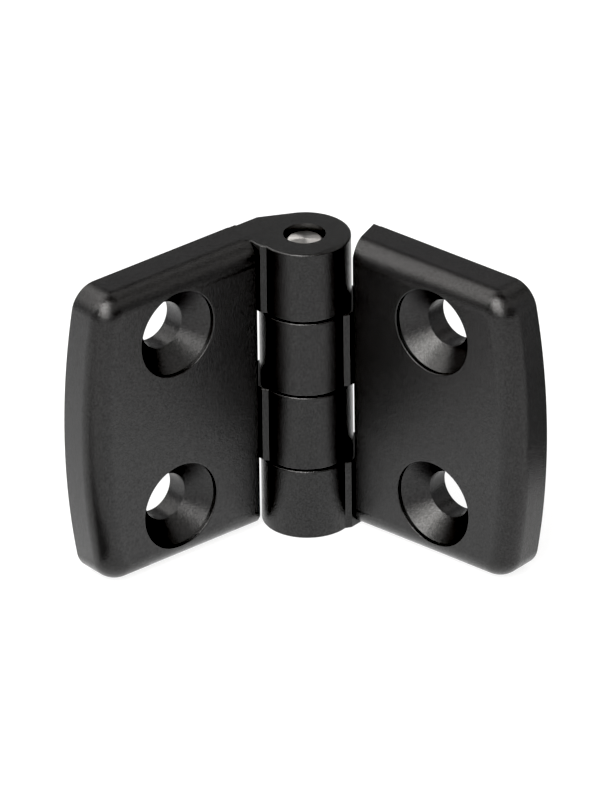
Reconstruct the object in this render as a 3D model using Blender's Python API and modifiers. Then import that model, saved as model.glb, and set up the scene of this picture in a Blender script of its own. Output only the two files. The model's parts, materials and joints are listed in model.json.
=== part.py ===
"""Butt hinge: two identical moulded leaves on one steel pin.

Both leaves are modelled once, in a leaf frame whose origin lies on the pin
axis at mid-height: +X runs out along the leaf, +Y towards its countersunk
front, +Z along the pin.  The second leaf is the same moulding turned over.
World frame: origin on the fixed leaf's mounting face, midway between its two
screw holes; +Y is that face's outward normal; +Z is along the pin.
"""
import math

import bmesh
import bpy

MM = 0.001

# ---- driving dimensions (mm, degrees) ----
HEIGHT = 45.0             # leaf and barrel height, along the pin
LEAF_REACH = 36.6         # pin axis to the middle of the bowed outer end
THICKNESS = 7.0           # plate thickness
AXIS_HEIGHT = 8.4         # pin axis above the mounting plane
END_BOW_R = 105.0         # radius of the bowed outer end
CORNER_R = 4.0            # outer corners, seen from the front
FRONT_FILLET_R = 3.2      # rounded front edges
INNER_BACK_U = 5.65       # slanted inner end: at the mounting plane ...
INNER_FRONT_U = 7.4       # ... and at the front face
INNER_EDGE_R = 0.35       # small round on the inner front edge
RELIEF_DEPTH = 0.2        # shallow relief of the back beside the barrel
RELIEF_U = 6.9

BARREL_R = 6.5
BORE_R = 2.95
END_KNUCKLE = 10.8        # height of the knuckle at the leaf's end
KNUCKLE_GAP = 0.3         # axial running gap at each joint line
WEB_KINK_U = 1.9          # where the back leaves the mounting plane
WEB_FACE_DEG = -3.9       # where the web's front face meets the barrel
RIB_SLOPE = 0.64          # outward lean of that face
RIB_DROP = 0.81           # depth of the face down to its outer edge
GROOVE_FLOOR_W = -3.3     # floor of the groove between barrel and plate
EDGE_R = 0.3              # small round on knuckle ends and bore mouths

HOLE_U = 21.6             # screw holes: distance from the pin axis
HOLE_SPACING = 27.2
HOLE_R = 3.5
SINK_R = 6.35             # 90 degree countersink
LAND_DEPTH = 0.75         # straight wall above the cone
RIM_R = 0.15

PIN_R = 2.85
PIN_CHAMFER = 0.55
PIN_RECESS = 0.8

OPENING = 100.5           # angle between the two front faces

# ---- mesh fineness ----
ARC_STEP = 5.0            # degrees per facet on the barrel
HOLE_STEPS = 48
FILLET_STEPS = 6
CORNER_STEPS = 9
BOW_STEPS = 14

COLLECTION = "plastic_hinge"

for old in list(bpy.data.objects):
    bpy.data.objects.remove(old, do_unlink=True)


def new_collection(name):
    col = bpy.data.collections.get(name) or bpy.data.collections.new(name)
    if name not in bpy.context.scene.collection.children:
        bpy.context.scene.collection.children.link(col)
    return col


parts = new_collection(COLLECTION)
cutters = new_collection("cutters")


def material(name, colour, roughness, metallic):
    mat = bpy.data.materials.new(name)
    mat.use_nodes = True
    bsdf = mat.node_tree.nodes["Principled BSDF"]
    bsdf.inputs["Base Color"].default_value = (*colour, 1.0)
    bsdf.inputs["Roughness"].default_value = roughness
    bsdf.inputs["Metallic"].default_value = metallic
    mat.diffuse_color = (*colour, 1.0)
    return mat


def arc(cx, cy, r, a0, a1, steps):
    """Points on an arc, both ends included, angles in degrees."""
    out = []
    for i in range(steps + 1):
        a = math.radians(a0 + (a1 - a0) * i / steps)
        out.append((cx + r * math.cos(a), cy + r * math.sin(a)))
    return out


def prism(name, outline, depth, holes=(), round_r=0.0, round_steps=1):
    """Mesh of a flat outline (mm) extruded both ways from its plane."""
    curve = bpy.data.curves.new(name + "_outline", "CURVE")
    curve.dimensions = "2D"
    curve.fill_mode = "BOTH"
    curve.extrude = (depth / 2 - round_r) * MM
    if round_r:
        curve.bevel_depth = round_r * MM
        curve.bevel_resolution = round_steps
        curve.offset = -round_r * MM
    for loop in (outline, *holes):
        spline = curve.splines.new("POLY")
        spline.points.add(len(loop) - 1)
        for p, (x, y) in zip(spline.points, loop):
            p.co = (x * MM, y * MM, 0.0, 1.0)
        spline.use_cyclic_u = True
    guide = bpy.data.objects.new(name + "_guide", curve)
    cutters.objects.link(guide)
    bpy.context.view_layer.update()
    deps = bpy.context.evaluated_depsgraph_get()
    mesh = bpy.data.meshes.new_from_object(guide.evaluated_get(deps))
    mesh.name = name
    bpy.data.objects.remove(guide, do_unlink=True)
    bm = bmesh.new()
    bm.from_mesh(mesh)
    bmesh.ops.remove_doubles(bm, verts=bm.verts, dist=1e-6)
    bmesh.ops.recalc_face_normals(bm, faces=bm.faces)
    bm.to_mesh(mesh)
    bm.free()
    return mesh


def add(name, mesh, collection):
    ob = bpy.data.objects.new(name, mesh)
    collection.objects.link(ob)
    return ob


def as_cutter(ob):
    ob.hide_render = True
    ob.display_type = "WIRE"
    return ob


def boolean(ob, other, operation):
    mod = ob.modifiers.new(operation.lower() + "_" + other.name, "BOOLEAN")
    mod.operation = operation
    mod.solver = "EXACT"
    mod.object = other
    return mod


def bake(ob):
    """Replace an object's mesh by its evaluated mesh, modifiers applied."""
    bpy.context.view_layer.update()
    deps = bpy.context.evaluated_depsgraph_get()
    mesh = bpy.data.meshes.new_from_object(ob.evaluated_get(deps))
    ob.modifiers.clear()
    ob.data = mesh
    return ob


def turned(name, profile, steps, collection):
    """Solid of revolution about local Z from (radius, z) points in mm,
    listed from the top down the outer side."""
    mesh = bpy.data.meshes.new(name)
    bm = bmesh.new()
    pts = [(0.0, profile[0][1]), *profile, (0.0, profile[-1][1])]
    verts = [bm.verts.new((r * MM, 0.0, z * MM)) for r, z in pts]
    for a, b in zip(verts, verts[1:]):
        bm.edges.new((a, b))
    bm.to_mesh(mesh)
    bm.free()
    ob = add(name, mesh, collection)
    mod = ob.modifiers.new("turn", "SCREW")
    mod.axis = "Z"
    mod.angle = math.tau
    mod.steps = steps
    mod.render_steps = steps
    mod.use_merge_vertices = True
    mod.merge_threshold = 1e-6
    mod.use_smooth_shade = True
    bake(ob)
    bm = bmesh.new()
    bm.from_mesh(ob.data)
    bmesh.ops.remove_doubles(bm, verts=bm.verts, dist=1e-6)
    bmesh.ops.recalc_face_normals(bm, faces=bm.faces)
    bm.to_mesh(ob.data)
    bm.free()
    return ob


def stand_up(mesh, centre_w):
    """Turn a prism drawn in (u, z) so that its depth runs along the leaf's
    normal, with the front at +Y, and move its middle plane to centre_w."""
    for v in mesh.vertices:
        x, y, z = v.co
        v.co = (x, centre_w * MM - z, y)


# ---- plate ----
BACK_W = -AXIS_HEIGHT
FRONT_W = THICKNESS - AXIS_HEIGHT
HALF = HEIGHT / 2


def plate_outline(inner_u):
    """Front view of the plate, counter-clockwise, in (u, z)."""
    bow_cu = LEAF_REACH - END_BOW_R
    corner_u = bow_cu + math.sqrt((END_BOW_R - CORNER_R) ** 2 - (HALF - CORNER_R) ** 2)
    meet = math.degrees(math.atan2(HALF - CORNER_R, corner_u - bow_cu))
    pts = [(inner_u, -HALF)]
    pts += arc(corner_u, -(HALF - CORNER_R), CORNER_R, -90.0, -meet, CORNER_STEPS)
    pts += arc(bow_cu, 0.0, END_BOW_R, -meet, meet, BOW_STEPS)[1:-1]
    pts += arc(corner_u, HALF - CORNER_R, CORNER_R, meet, 90.0, CORNER_STEPS)
    pts += [(inner_u, HALF)]
    return pts


plate_mesh = prism("plate", plate_outline(2.0), THICKNESS)
stand_up(plate_mesh, (BACK_W + FRONT_W) / 2)
bm = bmesh.new()
bm.from_mesh(plate_mesh)
bmesh.ops.recalc_face_normals(bm, faces=bm.faces)
flat = [e for e in bm.edges
        if len(e.link_faces) == 2 and all(abs(f.normal.y) > 0.999 for f in e.link_faces)]
bmesh.ops.dissolve_edges(bm, edges=flat, use_verts=False)
tol = 1e-6
rounded = [e for e in bm.edges
           if all(abs(v.co.y - FRONT_W * MM) < tol for v in e.verts)
           and not all(abs(v.co.x - 2.0 * MM) < tol for v in e.verts)
           and len(e.link_faces) == 2
           and e.calc_face_angle() > math.radians(60)]
bmesh.ops.bevel(bm, geom=rounded, offset=FRONT_FILLET_R * MM, offset_type="OFFSET",
                segments=FILLET_STEPS, profile=0.5, affect="EDGES", clamp_overlap=False)
bmesh.ops.remove_doubles(bm, verts=bm.verts, dist=1e-6)
bm.to_mesh(plate_mesh)
bm.free()
leaf = add("fixed_leaf", plate_mesh, parts)

# Plan section of the plate: slanted inner end, small round at its front edge,
# shallow relief of the back beside the barrel.
slope = (INNER_FRONT_U - INNER_BACK_U) / THICKNESS
lean = math.degrees(math.atan(slope))
edge_cv = FRONT_W - INNER_EDGE_R
edge_cu = (INNER_FRONT_U - slope * INNER_EDGE_R
           + INNER_EDGE_R / math.cos(math.radians(lean)))
plan = [(LEAF_REACH + 5.0, FRONT_W + 3.0), (edge_cu, FRONT_W + 3.0)]
plan += arc(edge_cu, edge_cv, INNER_EDGE_R, 90.0, 180.0 + lean, 4)
plan += [(INNER_BACK_U + slope * RELIEF_DEPTH, BACK_W + RELIEF_DEPTH),
         (RELIEF_U, BACK_W + RELIEF_DEPTH),
         (RELIEF_U + RELIEF_DEPTH, BACK_W - 0.001),
         (RELIEF_U + RELIEF_DEPTH, BACK_W - 3.0),
         (LEAF_REACH + 5.0, BACK_W - 3.0)]
section = as_cutter(add("plan_section", prism("plan_section", plan, HEIGHT + 10.0), cutters))
boolean(leaf, section, "INTERSECT")
bake(leaf)

# ---- knuckles with their web ----
def tangent_point():
    """Where the flat from the kink in the back touches the barrel."""
    ku, kw = WEB_KINK_U, BACK_W + RELIEF_DEPTH
    base = math.atan2(kw, ku)
    spread = math.acos(BARREL_R / math.hypot(ku, kw))
    return math.degrees(base - spread) + 360.0


def knuckle_outline():
    end = tangent_point()
    steps = round((end - WEB_FACE_DEG) / ARC_STEP)
    pts = arc(0.0, 0.0, BARREL_R, WEB_FACE_DEG, end, steps)
    face_u, face_w = pts[0]
    rib_u, rib_w = face_u + RIB_SLOPE * RIB_DROP, face_w - RIB_DROP
    pts += [(WEB_KINK_U, BACK_W + RELIEF_DEPTH),
            (6.6, BACK_W + RELIEF_DEPTH),
            (9.0, BACK_W + 1.2),
            (9.0, GROOVE_FLOOR_W - 1.2),
            (rib_u, GROOVE_FLOOR_W),
            (rib_u, rib_w)]
    return pts


def knuckle(name, z_low, z_high):
    bore = arc(0.0, 0.0, BORE_R, 0.0, 360.0, HOLE_STEPS)[:-1]
    mesh = prism(name, knuckle_outline(), z_high - z_low, holes=[bore],
                 round_r=EDGE_R, round_steps=1)
    for v in mesh.vertices:
        v.co.z += (z_low + z_high) / 2 * MM
    return as_cutter(add(name, mesh, cutters))


joint_z = HALF - END_KNUCKLE
end_knuckle = knuckle("end_knuckle", joint_z + KNUCKLE_GAP / 2, HALF)
inner_knuckle = knuckle("inner_knuckle", -joint_z + KNUCKLE_GAP / 2, -KNUCKLE_GAP / 2)
boolean(leaf, end_knuckle, "UNION")
boolean(leaf, inner_knuckle, "UNION")

# ---- screw holes ----
JUNCTION_W = FRONT_W - LAND_DEPTH - (SINK_R - HOLE_R)


def screw_cutter(name, z):
    """Countersunk hole, turned about the hole's axis: z is the leaf's w."""
    rim = [(SINK_R + RIM_R + RIM_R * math.cos(math.radians(a)),
            FRONT_W - RIM_R + RIM_R * math.sin(math.radians(a)))
           for a in (90.0, 120.0, 150.0, 180.0)]
    back = [(HOLE_R + RIM_R + RIM_R * math.cos(math.radians(a)),
             BACK_W + RIM_R + RIM_R * math.sin(math.radians(a)))
            for a in (180.0, 210.0, 240.0, 270.0)]
    profile = [(SINK_R + RIM_R, FRONT_W + 4.0), *rim,
               (SINK_R, FRONT_W - LAND_DEPTH), (HOLE_R, JUNCTION_W),
               *back, (HOLE_R + RIM_R, BACK_W - 2.0)]
    ob = turned(name, profile, HOLE_STEPS, cutters)
    for v in ob.data.vertices:
        x, y, w = v.co
        v.co = (HOLE_U * MM + x, w, z * MM - y)
    return as_cutter(ob)


upper = screw_cutter("upper_screw_cutter", HOLE_SPACING / 2)
lower = screw_cutter("lower_screw_cutter", -HOLE_SPACING / 2)
boolean(leaf, upper, "DIFFERENCE")
boolean(leaf, lower, "DIFFERENCE")
bake(leaf)

bm = bmesh.new()
bm.from_mesh(leaf.data)
bmesh.ops.remove_doubles(bm, verts=bm.verts, dist=2e-6)
bmesh.ops.dissolve_degenerate(bm, edges=bm.edges, dist=1e-6)
bmesh.ops.recalc_face_normals(bm, faces=bm.faces)
bm.to_mesh(leaf.data)
bm.free()
leaf.data.name = "leaf"
leaf.data.shade_smooth()
leaf.data.set_sharp_from_angle(angle=math.radians(32.0))

# ---- materials and placing ----
black = material("black_plastic", (0.012, 0.0115, 0.011), 0.48, 0.0)
black_turned = material("black_plastic_turned_leaf", (0.012, 0.0115, 0.011), 0.48, 0.0)
steel = material("steel_pin", (0.56, 0.54, 0.52), 0.34, 1.0)

AXIS = (HOLE_U * MM, -AXIS_HEIGHT * MM, 0.0)

leaf.location = AXIS
leaf.rotation_euler = (0.0, 0.0, math.pi)
leaf.data.materials.clear()
leaf.data.materials.append(black)

pivot = bpy.data.objects.new("pin_axis", None)
parts.objects.link(pivot)
pivot.location = AXIS
pivot.rotation_euler = (0.0, 0.0, -math.radians(180.0 - OPENING))

moving = add("moving_leaf", leaf.data.copy(), parts)
moving.data.name = "leaf_turned_over"
moving.data.materials.clear()
moving.data.materials.append(black_turned)
moving.parent = pivot
moving.rotation_euler = (math.pi, 0.0, 0.0)

# ---- pin ----
pin_half = HALF - PIN_RECESS
pin = turned("hinge_pin",
             [(PIN_R - PIN_CHAMFER, pin_half), (PIN_R, pin_half - PIN_CHAMFER),
              (PIN_R, -pin_half + PIN_CHAMFER), (PIN_R - PIN_CHAMFER, -pin_half)],
             HOLE_STEPS, parts)
pin.location = AXIS
pin.data.shade_smooth()
pin.data.set_sharp_from_angle(angle=math.radians(32.0))
pin.data.materials.clear()
pin.data.materials.append(steel)
bpy.context.view_layer.update()
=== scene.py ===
import json
import math

import bmesh
import bpy
from mathutils import Matrix, Vector

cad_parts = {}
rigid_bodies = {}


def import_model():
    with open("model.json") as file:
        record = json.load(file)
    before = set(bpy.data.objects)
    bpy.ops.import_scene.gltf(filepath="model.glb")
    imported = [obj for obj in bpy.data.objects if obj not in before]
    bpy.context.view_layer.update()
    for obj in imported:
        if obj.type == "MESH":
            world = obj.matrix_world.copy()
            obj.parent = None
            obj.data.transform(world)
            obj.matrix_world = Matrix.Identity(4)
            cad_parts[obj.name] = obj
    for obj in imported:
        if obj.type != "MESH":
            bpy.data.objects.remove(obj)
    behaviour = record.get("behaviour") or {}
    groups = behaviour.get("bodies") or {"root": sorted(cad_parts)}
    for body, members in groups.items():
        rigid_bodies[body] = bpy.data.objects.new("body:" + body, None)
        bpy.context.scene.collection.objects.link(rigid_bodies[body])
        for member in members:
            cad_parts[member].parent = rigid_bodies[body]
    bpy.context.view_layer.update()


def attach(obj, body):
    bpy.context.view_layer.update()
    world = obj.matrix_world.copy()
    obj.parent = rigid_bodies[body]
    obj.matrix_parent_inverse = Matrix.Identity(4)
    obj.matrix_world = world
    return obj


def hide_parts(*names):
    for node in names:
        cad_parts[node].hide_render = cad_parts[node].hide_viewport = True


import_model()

MM = 0.001

# ---------------------------------------------------------------- dimensions
HEIGHT = 45.0
LEAF_REACH = 36.6
THICKNESS = 7.0
AXIS_HEIGHT = 8.4
END_BOW_R = 105.0
CORNER_R = 4.0
FRONT_FILLET_R = 3.2
BACK_EDGE_R = 0.16
INNER_BACK_U = 5.65
INNER_FRONT_U = 7.4
INNER_EDGE_R = 0.35
RELIEF_DEPTH = 0.2
RELIEF_U = 6.9

BARREL_R = 6.5
BORE_R = 2.95
END_KNUCKLE = 10.8
KNUCKLE_GAP = 0.2
WEB_KINK_U = 1.9
WEB_FACE_DEG = -3.9
RIB_SLOPE = 0.64
RIB_DROP = 0.81
GROOVE_FLOOR_W = -3.3
EDGE_R = 0.3

HOLE_U = 21.6
HOLE_SPACING = 27.2
HOLE_R = 3.5
SINK_R = 6.35
LAND_DEPTH = 0.75
RIM_R = 0.2

PIN_R = 2.85
PIN_CHAMFER = 0.55
PIN_RECESS = 0.8

OPENING = 100.5

BACK_W = -AXIS_HEIGHT
FRONT_W = THICKNESS - AXIS_HEIGHT
HALF = HEIGHT / 2

# ---------------------------------------------------------------- camera
# Fitted to the photograph in a frame whose Z is the pin axis, whose origin is
# at the hinge's lower end and whose camera looks along +Y, tilted down.
LOOK_TURN = 39.10         # turn from that frame to the part's own frame
LOOK_DOWN = 28.83
LOOK_DISTANCE = 2000.0
LOOK_X = -0.922
LOOK_Z = 18.591
LOOK_ROLL = -0.754
FOCAL_PX = 14314.0

TURN = Matrix.Rotation(-math.radians(LOOK_TURN), 3, "Z")
AXIS = Vector((HOLE_U, -AXIS_HEIGHT, 0.0)) * MM
BASE = Vector((HOLE_U, -AXIS_HEIGHT, -HALF)) * MM


def studio(x, y, z):
    """Point of the photograph's frame (mm) in the part's frame (m)."""
    return TURN @ Vector((x, y, z)) * MM + BASE


def make_camera():
    cam = bpy.data.cameras.new("camera")
    ob = bpy.data.objects.new("camera", cam)
    bpy.context.scene.collection.objects.link(ob)
    down = math.radians(LOOK_DOWN)
    roll = math.radians(LOOK_ROLL)
    right = Vector((1.0, 0.0, 0.0))
    up = Vector((0.0, math.sin(down), math.cos(down)))
    forward = Vector((0.0, math.cos(down), -math.sin(down)))
    right2 = math.cos(roll) * right + math.sin(roll) * up
    up2 = -math.sin(roll) * right + math.cos(roll) * up
    rot = Matrix((TURN @ right2, TURN @ up2, TURN @ -forward)).transposed()
    ob.matrix_world = (Matrix.Translation(
        studio(LOOK_X, -LOOK_DISTANCE * math.cos(down),
               LOOK_Z + LOOK_DISTANCE * math.sin(down))) @ rot.to_4x4())
    cam.sensor_fit = "AUTO"
    cam.sensor_width = 36.0
    cam.lens = FOCAL_PX / 800.0 * 36.0
    cam.clip_start = 0.05
    cam.clip_end = 50.0
    bpy.context.scene.camera = ob


make_camera()

# ---------------------------------------------------------------- mesh tools
build = bpy.data.collections.new("build")
bpy.context.scene.collection.children.link(build)


def arc(cx, cy, r, a0, a1, steps):
    out = []
    for i in range(steps + 1):
        a = math.radians(a0 + (a1 - a0) * i / steps)
        out.append((cx + r * math.cos(a), cy + r * math.sin(a)))
    return out


def tidy(mesh, dist=1e-6):
    bm = bmesh.new()
    bm.from_mesh(mesh)
    bmesh.ops.remove_doubles(bm, verts=bm.verts, dist=dist)
    bmesh.ops.recalc_face_normals(bm, faces=bm.faces)
    bm.to_mesh(mesh)
    bm.free()
    return mesh


def prism(name, outline, depth, holes=(), round_r=0.0, round_steps=2):
    curve = bpy.data.curves.new(name + "_outline", "CURVE")
    curve.dimensions = "2D"
    curve.fill_mode = "BOTH"
    curve.extrude = (depth / 2 - round_r) * MM
    if round_r:
        curve.bevel_depth = round_r * MM
        curve.bevel_resolution = round_steps
        curve.offset = -round_r * MM
    for loop in (outline, *holes):
        spline = curve.splines.new("POLY")
        spline.points.add(len(loop) - 1)
        for p, (x, y) in zip(spline.points, loop):
            p.co = (x * MM, y * MM, 0.0, 1.0)
        spline.use_cyclic_u = True
    guide = bpy.data.objects.new(name + "_guide", curve)
    build.objects.link(guide)
    bpy.context.view_layer.update()
    deps = bpy.context.evaluated_depsgraph_get()
    mesh = bpy.data.meshes.new_from_object(guide.evaluated_get(deps))
    mesh.name = name
    bpy.data.objects.remove(guide, do_unlink=True)
    return tidy(mesh)


def add(name, mesh):
    ob = bpy.data.objects.new(name, mesh)
    build.objects.link(ob)
    return ob


def boolean(ob, other, operation):
    mod = ob.modifiers.new("cut", "BOOLEAN")
    mod.operation = operation
    mod.solver = "EXACT"
    mod.object = other
    bake(ob)
    bpy.data.objects.remove(other, do_unlink=True)


def bake(ob):
    bpy.context.view_layer.update()
    deps = bpy.context.evaluated_depsgraph_get()
    mesh = bpy.data.meshes.new_from_object(ob.evaluated_get(deps))
    ob.modifiers.clear()
    ob.data = mesh
    return ob


def turned(name, profile, steps):
    """Solid of revolution about Z from (radius, z) points in mm, listed from
    the top down the outer side."""
    mesh = bpy.data.meshes.new(name)
    bm = bmesh.new()
    pts = [(0.0, profile[0][1]), *profile, (0.0, profile[-1][1])]
    verts = [bm.verts.new((r * MM, 0.0, z * MM)) for r, z in pts]
    for a, b in zip(verts, verts[1:]):
        bm.edges.new((a, b))
    bm.to_mesh(mesh)
    bm.free()
    ob = add(name, mesh)
    mod = ob.modifiers.new("turn", "SCREW")
    mod.axis = "Z"
    mod.angle = math.tau
    mod.steps = steps
    mod.render_steps = steps
    mod.use_merge_vertices = True
    mod.merge_threshold = 1e-6
    bake(ob)
    tidy(ob.data)
    return ob


# ---------------------------------------------------------------- the leaf
def plate_outline(inner_u):
    bow_cu = LEAF_REACH - END_BOW_R
    corner_u = bow_cu + math.sqrt((END_BOW_R - CORNER_R) ** 2 - (HALF - CORNER_R) ** 2)
    meet = math.degrees(math.atan2(HALF - CORNER_R, corner_u - bow_cu))
    pts = [(inner_u, -HALF)]
    pts += arc(corner_u, -(HALF - CORNER_R), CORNER_R, -90.0, -meet, 18)
    pts += arc(bow_cu, 0.0, END_BOW_R, -meet, meet, 28)[1:-1]
    pts += arc(corner_u, HALF - CORNER_R, CORNER_R, meet, 90.0, 18)
    pts += [(inner_u, HALF)]
    return pts


def plate():
    mesh = prism("plate", plate_outline(2.0), THICKNESS)
    centre_w = (BACK_W + FRONT_W) / 2
    for v in mesh.vertices:
        x, y, z = v.co
        v.co = (x, centre_w * MM - z, y)
    bm = bmesh.new()
    bm.from_mesh(mesh)
    bmesh.ops.recalc_face_normals(bm, faces=bm.faces)
    flat = [e for e in bm.edges
            if len(e.link_faces) == 2 and all(abs(f.normal.y) > 0.999 for f in e.link_faces)]
    bmesh.ops.dissolve_edges(bm, edges=flat, use_verts=False)

    def border(w):
        return [e for e in bm.edges
                if all(abs(v.co.y - w * MM) < 1e-6 for v in e.verts)
                and not all(abs(v.co.x - 2.0 * MM) < 1e-6 for v in e.verts)
                and len(e.link_faces) == 2
                and e.calc_face_angle() > math.radians(60)]

    bmesh.ops.bevel(bm, geom=border(FRONT_W), offset=FRONT_FILLET_R * MM,
                    offset_type="OFFSET", segments=14, profile=0.5,
                    affect="EDGES", clamp_overlap=False)
    bmesh.ops.bevel(bm, geom=border(BACK_W), offset=BACK_EDGE_R * MM,
                    offset_type="OFFSET", segments=3, profile=0.5,
                    affect="EDGES", clamp_overlap=False)
    bmesh.ops.remove_doubles(bm, verts=bm.verts, dist=1e-7)
    bm.to_mesh(mesh)
    bm.free()
    ob = add("plate", mesh)

    slope = (INNER_FRONT_U - INNER_BACK_U) / THICKNESS
    lean = math.degrees(math.atan(slope))
    edge_cv = FRONT_W - INNER_EDGE_R
    edge_cu = (INNER_FRONT_U - slope * INNER_EDGE_R
               + INNER_EDGE_R / math.cos(math.radians(lean)))
    plan = [(LEAF_REACH + 5.0, FRONT_W + 3.0), (edge_cu, FRONT_W + 3.0)]
    plan += arc(edge_cu, edge_cv, INNER_EDGE_R, 90.0, 180.0 + lean, 8)
    plan += [(INNER_BACK_U + slope * RELIEF_DEPTH, BACK_W + RELIEF_DEPTH),
             (RELIEF_U, BACK_W + RELIEF_DEPTH),
             (RELIEF_U + RELIEF_DEPTH, BACK_W - 0.001),
             (RELIEF_U + RELIEF_DEPTH, BACK_W - 3.0),
             (LEAF_REACH + 5.0, BACK_W - 3.0)]
    boolean(ob, add("section", prism("section", plan, HEIGHT + 10.0)), "INTERSECT")
    return ob


def knuckle(name, z_low, z_high):
    ku, kw = WEB_KINK_U, BACK_W + RELIEF_DEPTH
    end = math.degrees(math.atan2(kw, ku) - math.acos(BARREL_R / math.hypot(ku, kw))) + 360.0
    pts = arc(0.0, 0.0, BARREL_R, WEB_FACE_DEG, end, round((end - WEB_FACE_DEG) / 2.5))
    face_u, face_w = pts[0]
    rib_u, rib_w = face_u + RIB_SLOPE * RIB_DROP, face_w - RIB_DROP
    # a small round at the kink between the flat and the mounting plane
    slope_a = math.atan2(kw - pts[-1][1], ku - pts[-1][0])
    kink_r = 1.2
    reach = kink_r * math.tan(abs(slope_a) / 2)
    start = (ku - reach * math.cos(slope_a), kw - reach * math.sin(slope_a))
    cx, cy = ku + reach, kw + kink_r
    a0 = math.degrees(math.atan2(start[1] - cy, start[0] - cx))
    if a0 > 0:
        a0 -= 360.0
    pts += arc(cx, cy, kink_r, a0, -90.0, 6)
    pts += [(6.6, kw), (9.0, BACK_W + 1.2), (9.0, GROOVE_FLOOR_W - 1.2),
            (rib_u, GROOVE_FLOOR_W), (rib_u, rib_w)]
    mesh = prism(name, pts, z_high - z_low, round_r=EDGE_R, round_steps=3)
    for v in mesh.vertices:
        v.co.z += (z_low + z_high) / 2 * MM
    return add(name, mesh)


def screw_cutter(name, z):
    junction_w = FRONT_W - LAND_DEPTH - (SINK_R - HOLE_R)
    rim = [(SINK_R + RIM_R + RIM_R * math.cos(math.radians(a)),
            FRONT_W - RIM_R + RIM_R * math.sin(math.radians(a)))
           for a in (90.0, 112.5, 135.0, 157.5, 180.0)]
    back = [(HOLE_R + RIM_R + RIM_R * math.cos(math.radians(a)),
             BACK_W + RIM_R + RIM_R * math.sin(math.radians(a)))
            for a in (180.0, 210.0, 240.0, 270.0)]
    profile = [(SINK_R + RIM_R, FRONT_W + 4.0), *rim,
               (SINK_R, FRONT_W - LAND_DEPTH), (HOLE_R, junction_w),
               *back, (HOLE_R + RIM_R, BACK_W - 2.0)]
    ob = turned(name, profile, 96)
    for v in ob.data.vertices:
        x, y, w = v.co
        v.co = (HOLE_U * MM + x, w, z * MM - y)
    return ob


def leaf_mesh():
    ob = plate()
    joint_z = HALF - END_KNUCKLE
    boolean(ob, knuckle("end_knuckle", joint_z + KNUCKLE_GAP / 2, HALF), "UNION")
    boolean(ob, knuckle("inner_knuckle", -joint_z + KNUCKLE_GAP / 2, -KNUCKLE_GAP / 2), "UNION")
    bore = turned("bore", [(BORE_R, HALF + 2.0), (BORE_R, -HALF - 2.0)], 96)
    boolean(ob, bore, "DIFFERENCE")
    boolean(ob, screw_cutter("upper_screw", HOLE_SPACING / 2), "DIFFERENCE")
    boolean(ob, screw_cutter("lower_screw", -HOLE_SPACING / 2), "DIFFERENCE")
    bm = bmesh.new()
    bm.from_mesh(ob.data)
    bmesh.ops.remove_doubles(bm, verts=bm.verts, dist=1e-6)
    bmesh.ops.dissolve_degenerate(bm, edges=bm.edges, dist=1e-6)
    bmesh.ops.recalc_face_normals(bm, faces=bm.faces)
    bm.to_mesh(ob.data)
    bm.free()
    mesh = ob.data
    mesh.shade_smooth()
    mesh.set_sharp_from_angle(angle=math.radians(24.0))
    bpy.data.objects.remove(ob, do_unlink=True)
    return mesh


def even_normals(ob):
    mod = ob.modifiers.new("even_normals", "WEIGHTED_NORMAL")
    mod.mode = "FACE_AREA"
    mod.weight = 100
    mod.keep_sharp = True


# ---------------------------------------------------------------- materials
def new_material(name):
    mat = bpy.data.materials.new(name)
    mat.use_nodes = True
    nt = mat.node_tree
    nt.nodes.clear()
    out = nt.nodes.new("ShaderNodeOutputMaterial")
    bsdf = nt.nodes.new("ShaderNodeBsdfPrincipled")
    nt.links.new(bsdf.outputs[0], out.inputs["Surface"])
    return mat, nt, bsdf


def noise(nt, coord, scale, detail=2.0, roughness=0.5, w=None):
    n = nt.nodes.new("ShaderNodeTexNoise")
    n.inputs["Scale"].default_value = scale
    n.inputs["Detail"].default_value = detail
    n.inputs["Roughness"].default_value = roughness
    nt.links.new(coord, n.inputs["Vector"])
    return n.outputs["Fac"]


def map_range(nt, value, lo, hi, to_lo, to_hi):
    n = nt.nodes.new("ShaderNodeMapRange")
    n.inputs["From Min"].default_value = lo
    n.inputs["From Max"].default_value = hi
    n.inputs["To Min"].default_value = to_lo
    n.inputs["To Max"].default_value = to_hi
    nt.links.new(value, n.inputs["Value"])
    return n.outputs["Result"]


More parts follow.
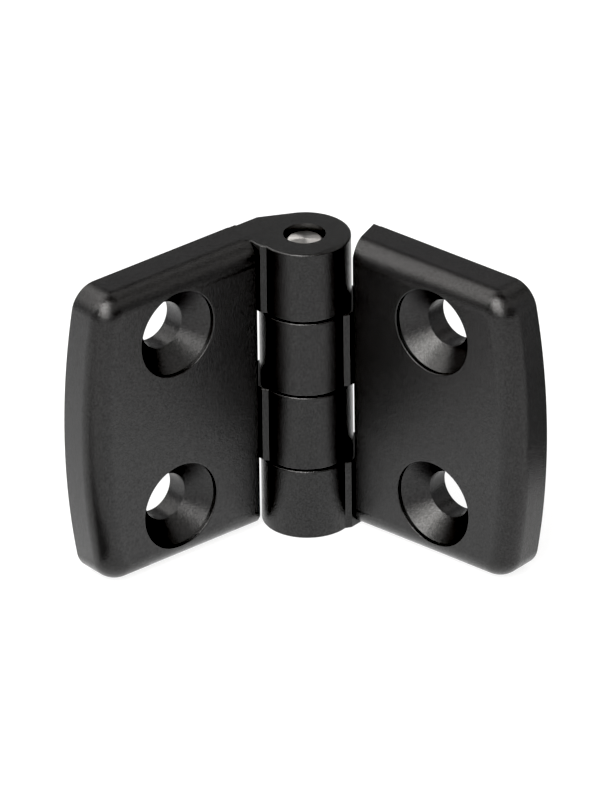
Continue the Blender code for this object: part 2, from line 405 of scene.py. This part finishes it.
def plastic(name):
    """Black glass-filled plastic with the fine satin grain of an eroded mould."""
    mat, nt, bsdf = new_material(name)
    coord = nt.nodes.new("ShaderNodeTexCoord").outputs["Object"]
    grain = noise(nt, coord, 5200.0, 2.0, 0.55)
    fine = noise(nt, coord, 11000.0, 1.0, 0.5)
    cloud = noise(nt, coord, 240.0, 3.0, 0.6)
    bump1 = nt.nodes.new("ShaderNodeBump")
    bump1.inputs["Strength"].default_value = 0.9
    bump1.inputs["Distance"].default_value = 0.00005
    nt.links.new(grain, bump1.inputs["Height"])
    bump2 = nt.nodes.new("ShaderNodeBump")
    bump2.inputs["Strength"].default_value = 0.25
    bump2.inputs["Distance"].default_value = 0.000012
    nt.links.new(fine, bump2.inputs["Height"])
    nt.links.new(bump1.outputs[0], bump2.inputs["Normal"])
    nt.links.new(bump2.outputs[0], bsdf.inputs["Normal"])
    rough = map_range(nt, cloud, 0.3, 0.7, 0.21, 0.24)
    nt.links.new(rough, bsdf.inputs["Roughness"])
    ramp = nt.nodes.new("ShaderNodeValToRGB")
    ramp.color_ramp.elements[0].color = (0.0018, 0.0017, 0.0016, 1.0)
    ramp.color_ramp.elements[1].color = (0.0032, 0.0030, 0.0028, 1.0)
    ramp.color_ramp.elements[0].position = 0.35
    ramp.color_ramp.elements[1].position = 0.7
    nt.links.new(cloud, ramp.inputs["Fac"])
    nt.links.new(ramp.outputs["Color"], bsdf.inputs["Base Color"])
    # gloss flecks where the filler reaches the moulded skin
    fleck = noise(nt, coord, 3800.0, 2.0, 0.5)
    gloss = map_range(nt, fleck, 0.28, 0.72, 0.35, 0.63)
    nt.links.new(gloss, bsdf.inputs["Specular IOR Level"])
    bsdf.inputs["IOR"].default_value = 1.5
    return mat


def turned_steel(name):
    """Steel with faint concentric tool marks on its ends."""
    mat, nt, bsdf = new_material(name)
    coord = nt.nodes.new("ShaderNodeTexCoord").outputs["Object"]
    sep = nt.nodes.new("ShaderNodeSeparateXYZ")
    nt.links.new(coord, sep.inputs[0])
    flat = nt.nodes.new("ShaderNodeCombineXYZ")
    nt.links.new(sep.outputs["X"], flat.inputs["X"])
    nt.links.new(sep.outputs["Y"], flat.inputs["Y"])
    length = nt.nodes.new("ShaderNodeVectorMath")
    length.operation = "LENGTH"
    nt.links.new(flat.outputs[0], length.inputs[0])
    ring = nt.nodes.new("ShaderNodeMath")
    ring.operation = "MULTIPLY"
    ring.inputs[1].default_value = 1.0
    nt.links.new(length.outputs["Value"], ring.inputs[0])
    radius = nt.nodes.new("ShaderNodeCombineXYZ")
    nt.links.new(ring.outputs[0], radius.inputs["X"])
    marks = noise(nt, radius.outputs[0], 9000.0, 3.0, 0.65)
    bump = nt.nodes.new("ShaderNodeBump")
    bump.inputs["Strength"].default_value = 0.5
    bump.inputs["Distance"].default_value = 0.00001
    nt.links.new(marks, bump.inputs["Height"])
    nt.links.new(bump.outputs[0], bsdf.inputs["Normal"])
    ramp = nt.nodes.new("ShaderNodeValToRGB")
    ramp.color_ramp.elements[0].color = (0.33, 0.32, 0.31, 1.0)
    ramp.color_ramp.elements[1].color = (0.66, 0.645, 0.63, 1.0)
    ramp.color_ramp.elements[0].position = 0.3
    ramp.color_ramp.elements[1].position = 0.7
    nt.links.new(marks, ramp.inputs["Fac"])
    nt.links.new(ramp.outputs["Color"], bsdf.inputs["Base Color"])
    around = nt.nodes.new("ShaderNodeTangent")
    around.direction_type = "RADIAL"
    around.axis = "Z"
    nt.links.new(around.outputs[0], bsdf.inputs["Tangent"])
    bsdf.inputs["Anisotropic"].default_value = 0.85
    bsdf.inputs["Metallic"].default_value = 1.0
    bsdf.inputs["Roughness"].default_value = 0.42
    return mat


# ---------------------------------------------------------------- pieces
mesh = leaf_mesh()
black = plastic("black_plastic_satin")
mesh.materials.clear()
mesh.materials.append(black)

fixed_mesh = mesh.copy()
fixed_mesh.name = "leaf"
fixed_mesh.transform(Matrix.Rotation(math.pi, 4, "Z"))
fixed = add("fixed_leaf_moulding", fixed_mesh)
fixed.matrix_world = Matrix.Translation(AXIS)
even_normals(fixed)
turned_over = mesh.copy()
turned_over.name = "leaf_turned_over"
turned_over.transform(Matrix.Rotation(-math.radians(180.0 - OPENING), 4, "Z")
                      @ Matrix.Rotation(math.pi, 4, "X"))
moving = add("moving_leaf_moulding", turned_over)
moving.matrix_world = Matrix.Translation(AXIS)
even_normals(moving)

pin_half = HALF - PIN_RECESS
edge = 0.08
pin_profile = [(PIN_R - PIN_CHAMFER - edge, pin_half),
               (PIN_R - PIN_CHAMFER + edge * 0.7, pin_half - edge * 0.7),
               (PIN_R - edge * 0.7, pin_half - PIN_CHAMFER + edge * 0.7),
               (PIN_R, pin_half - PIN_CHAMFER - edge)]
pin_profile += [(r, -z) for r, z in reversed(pin_profile)]
pin = turned("steel_pin", pin_profile, 96)
pin.matrix_world = Matrix.Translation(AXIS)
pin.data.shade_smooth()
pin.data.set_sharp_from_angle(angle=math.radians(24.0))
pin.data.materials.clear()
pin.data.materials.append(turned_steel("turned_steel"))
even_normals(pin)

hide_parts("fixed_leaf")
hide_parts("moving_leaf")
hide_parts("hinge_pin")
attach(fixed, "fixed_leaf_body")
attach(moving, "moving_leaf_body")
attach(pin, "fixed_leaf_body")

# ---------------------------------------------------------------- floor, light
FLOOR_EMIT = 0.85
floor_mesh = bpy.data.meshes.new("floor")
bm = bmesh.new()
bmesh.ops.create_grid(bm, x_segments=1, y_segments=1, size=12.0)
bm.to_mesh(floor_mesh)
bm.free()
floor = bpy.data.objects.new("floor", floor_mesh)
bpy.context.scene.collection.objects.link(floor)
floor.location = (BASE.x, BASE.y, BASE.z - 0.00002)
mat, nt, bsdf = new_material("pale_floor")
bsdf.inputs["Base Color"].default_value = (0.25, 0.25, 0.25, 1.0)
bsdf.inputs["Roughness"].default_value = 0.9
bsdf.inputs["Specular IOR Level"].default_value = 0.1
bsdf.inputs["Emission Color"].default_value = (1.0, 1.0, 1.0, 1.0)
bsdf.inputs["Emission Strength"].default_value = FLOOR_EMIT
floor_mesh.materials.append(mat)

# Dim room for the reflections, white beyond the floor for low views.
world = bpy.data.worlds.new("studio")
bpy.context.scene.world = world
world.use_nodes = True
wt = world.node_tree
wt.nodes.clear()
w_out = wt.nodes.new("ShaderNodeOutputWorld")
room = wt.nodes.new("ShaderNodeBackground")
room.inputs["Color"].default_value = (1.0, 0.985, 0.965, 1.0)
room.inputs["Strength"].default_value = 0.1
white = wt.nodes.new("ShaderNodeBackground")
white.inputs["Color"].default_value = (1.0, 1.0, 1.0, 1.0)
white.inputs["Strength"].default_value = 1.0
pick = wt.nodes.new("ShaderNodeMixShader")
path = wt.nodes.new("ShaderNodeLightPath")
wt.links.new(path.outputs["Is Camera Ray"], pick.inputs[0])
wt.links.new(room.outputs[0], pick.inputs[1])
wt.links.new(white.outputs[0], pick.inputs[2])
wt.links.new(pick.outputs[0], w_out.inputs["Surface"])

AIM = Vector((0.0, 0.0, 20.0))


def softbox(name, toward, far, size_x, size_y, radiance, colour=(1.0, 0.985, 0.965)):
    """Rectangular softbox of a given radiance; toward is its direction from
    the hinge in the photo's frame, far its distance in mm."""
    light = bpy.data.lights.new(name, "AREA")
    light.shape = "RECTANGLE"
    light.size = size_x * MM
    light.size_y = size_y * MM
    light.energy = radiance * math.pi * size_x * size_y * MM * MM
    light.color = colour
    ob = bpy.data.objects.new(name, light)
    bpy.context.scene.collection.objects.link(ob)
    here = studio(*(AIM + Vector(toward).normalized() * far))
    there = studio(*AIM)
    ob.matrix_world = (Matrix.Translation(here)
                       @ (there - here).to_track_quat("-Z", "Y").to_matrix().to_4x4())
    ob.visible_camera = False
    return ob


softbox("softbox_left", (-0.74, 0.0, 0.67), 1200, 700, 800, 3.0)
softbox("softbox_back_left", (-0.4, 0.42, 0.82), 1300, 700, 800, 2.4)
softbox("softbox_right", (0.74, 0.0, 0.67), 1200, 800, 800, 0.8)
softbox("softbox_back_right", (0.33, 0.47, 0.82), 1300, 600, 600, 1.0)
softbox("softbox_front", (-0.26, -0.82, 0.52), 1400, 1100, 650, 6.0)
softbox("softbox_front_top", (-0.26, -0.47, 0.85), 1400, 800, 680, 10.0)
softbox("softbox_front_right", (0.42, -0.55, 0.72), 1400, 900, 800, 0.9)


def card(name, corner, side_a, side_b, radiance):
    """Reflector or flag seen only in reflections; corner and sides are in the
    photo's frame, in mm."""
    mesh = bpy.data.meshes.new(name)
    bm = bmesh.new()
    bmesh.ops.create_grid(bm, x_segments=1, y_segments=1, size=0.5)
    bm.to_mesh(mesh)
    bm.free()
    ob = bpy.data.objects.new(name, mesh)
    bpy.context.scene.collection.objects.link(ob)
    a, b = TURN @ Vector(side_a) * MM, TURN @ Vector(side_b) * MM
    rot = Matrix((a.normalized(), b.normalized(), a.cross(b).normalized())).transposed()
    ob.matrix_world = (Matrix.Translation(studio(*corner) + (a + b) / 2)
                       @ rot.to_4x4() @ Matrix.Diagonal((a.length, b.length, 1.0, 1.0)))
    mat, nt, bsdf = new_material(name)
    bsdf.inputs["Base Color"].default_value = (0.0, 0.0, 0.0, 1.0)
    bsdf.inputs["Specular IOR Level"].default_value = 0.0
    bsdf.inputs["Roughness"].default_value = 1.0
    bsdf.inputs["Emission Color"].default_value = (1.0, 1.0, 1.0, 1.0)
    bsdf.inputs["Emission Strength"].default_value = radiance
    mesh.materials.append(mat)
    ob.visible_camera = False
    ob.visible_diffuse = False
    ob.visible_shadow = False
    ob.visible_transmission = False
    return ob


card("card_back", (-900, 900, 120), (1800, 0, 0), (0, 250, 800), 0.45)
card("card_left", (-33, -17, 1.0), (-392, -80, 0), (-80, 392, 0), 1.45)
card("card_right", (54, -27, 1.0), (400, 0, 0), (0, 420, 0), 0.33)
card("flag_left", (-25, -27, 2.0), (-93, -75.5, 0), (-5.7, 7.0, 0), 0.3)
card("card_front_wall", (-700, -1500, 2), (1400, 0, 0), (0, 0, 780), 0.8)
card("card_centre", (-22, -95, 0.5), (44, 0, 0), (0, 90, 0), 1.3)
card("card_left_side", (-900, -500, 2), (0, 1000, 0), (0, 0, 420), 0.6)
card("card_right_side", (900, -500, 2), (0, 1000, 0), (0, 0, 420), 0.6)

view = bpy.context.scene.view_settings
view.view_transform = "Standard"
view.look = "None"
view.exposure = 0.0
view.gamma = 1.0
view.use_curve_mapping = True
view.curve_mapping.black_level = (0.0122, 0.0122, 0.0122)
view.curve_mapping.update()

bpy.data.collections.remove(build) if not build.objects else None
